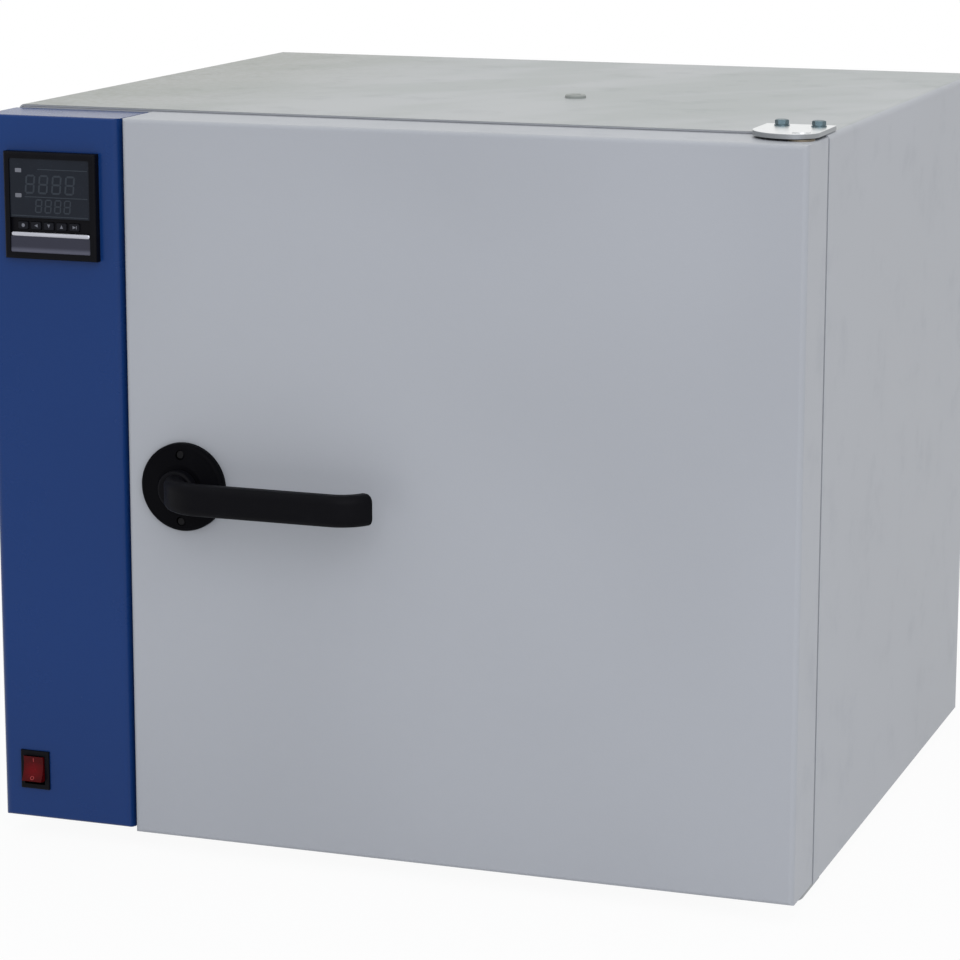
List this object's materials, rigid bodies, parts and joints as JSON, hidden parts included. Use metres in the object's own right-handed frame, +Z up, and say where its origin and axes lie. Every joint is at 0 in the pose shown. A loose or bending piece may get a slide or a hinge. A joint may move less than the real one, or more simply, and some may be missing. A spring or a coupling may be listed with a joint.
{
  "type": "drying cabinet",
  "caption": "Bench-top drying cabinet with a blue control column, a hinged insulated door with a lever handle, and a heated chamber with wire shelves.",
  "frame": {"origin": "bottom centre of the whole cabinet, on the plane its feet stand on", "axes": "+Z up, front towards -Y, hinge side towards +X"},
  "size_m": [0.54, 0.547, 0.487],
  "materials": {
    "light_paint": "satin",
    "blue_paint": "satin",
    "galvanised": "satin",
    "chamber_steel": "satin",
    "heater_steel": "matte",
    "wool": "matte",
    "bright_wire": "gloss",
    "zinc": "satin",
    "bolt_steel": "satin",
    "black_handle": "satin",
    "screw_black": "satin",
    "black_plastic": "satin",
    "display": "gloss",
    "strip_silver": "satin",
    "key_plastic": "satin",
    "switch_red": "gloss",
    "board_green": "satin",
    "relay_black": "satin",
    "terminal_white": "satin",
    "silicone": "matte",
    "foot_rubber": "matte",
    "bronze": "satin"
  },
  "bodies": {
    "cabinet": {"outer_wrap": "light_paint", "base_plate": "galvanised", "back_panel": "light_paint", "back_screws": "bolt_steel", "front_frame": "light_paint", "bay_wall": "galvanised", "insulation": "wool", "chamber_liner": "chamber_steel", "floor_plate": "chamber_steel", "heater_elements": "heater_steel", "heater_saddle": "galvanised", "probe": "chamber_steel", "shelf_runners": "galvanised", "shelf_lower": "bright_wire", "shelf_upper": "bright_wire", "port_tube": "chamber_steel", "port_bush": "black_plastic", "cable_gland": "black_plastic", "gland_nut": "black_plastic", "feet": "foot_rubber", "foot_screws": "bolt_steel", "control_column": "blue_paint", "controller_case": "black_plastic", "controller_bezel": "black_plastic", "controller_window": "display", "controller_strip": "strip_silver", "key_board": "board_green", "switch_frame": "black_plastic", "switch_body": "black_plastic", "power_relay": "relay_black", "terminal_block": "terminal_white", "latch_keeper": "galvanised", "keeper_screws": "bolt_steel", "top_hinge_plate": "zinc", "bottom_hinge_plate": "zinc", "hinge_bolts": "bolt_steel", "hinge_nut_plates": "galvanised"},
    "door": {"door_skin": "light_paint", "door_liner": "chamber_steel", "door_insulation": "wool", "door_gasket": "silicone", "door_bushes": "bronze", "spindle_sleeve": "bolt_steel", "rosette": "black_handle", "rosette_screws": "screw_black"},
    "handle": {"lever": "black_handle", "spindle": "bolt_steel", "latch_cam": "bolt_steel", "cam_nut": "bolt_steel"},
    "rocker": {"rocker": "switch_red"},
    "key_1": {"key_1": "key_plastic"},
    "key_2": {"key_2": "key_plastic"},
    "key_3": {"key_3": "key_plastic"},
    "key_4": {"key_4": "key_plastic"},
    "key_5": {"key_5": "key_plastic"}
  },
  "joints": [
    {"name": "door_hinge", "type": "hinge", "parent": "cabinet", "child": "door", "pos_m": [0.259, -0.2055, 0.245], "axis": [0, 0, 1], "range_deg": [0, 135]},
    {"name": "handle_turn", "type": "hinge", "parent": "door", "child": "handle", "pos_m": [-0.133, -0.2305, 0.246], "axis": [0, 1, 0], "range_deg": [0, 90]},
    {"name": "rocker_tip", "type": "hinge", "parent": "cabinet", "child": "rocker", "pos_m": [-0.24575, -0.2255, 0.046], "axis": [1, 0, 0], "range_deg": [0, 24]},
    {"name": "key_1_press", "type": "slide", "parent": "cabinet", "child": "key_1", "axis": [0, 1, 0], "range_m": [0, 0.0005], "stiffness_N_per_m": 300, "springref_m": -0.0008},
    {"name": "key_2_press", "type": "slide", "parent": "cabinet", "child": "key_2", "axis": [0, 1, 0], "range_m": [0, 0.0005], "stiffness_N_per_m": 300, "springref_m": -0.0008},
    {"name": "key_3_press", "type": "slide", "parent": "cabinet", "child": "key_3", "axis": [0, 1, 0], "range_m": [0, 0.0005], "stiffness_N_per_m": 300, "springref_m": -0.0008},
    {"name": "key_4_press", "type": "slide", "parent": "cabinet", "child": "key_4", "axis": [0, 1, 0], "range_m": [0, 0.0005], "stiffness_N_per_m": 300, "springref_m": -0.0008},
    {"name": "key_5_press", "type": "slide", "parent": "cabinet", "child": "key_5", "axis": [0, 1, 0], "range_m": [0, 0.0005], "stiffness_N_per_m": 300, "springref_m": -0.0008}
  ]
}
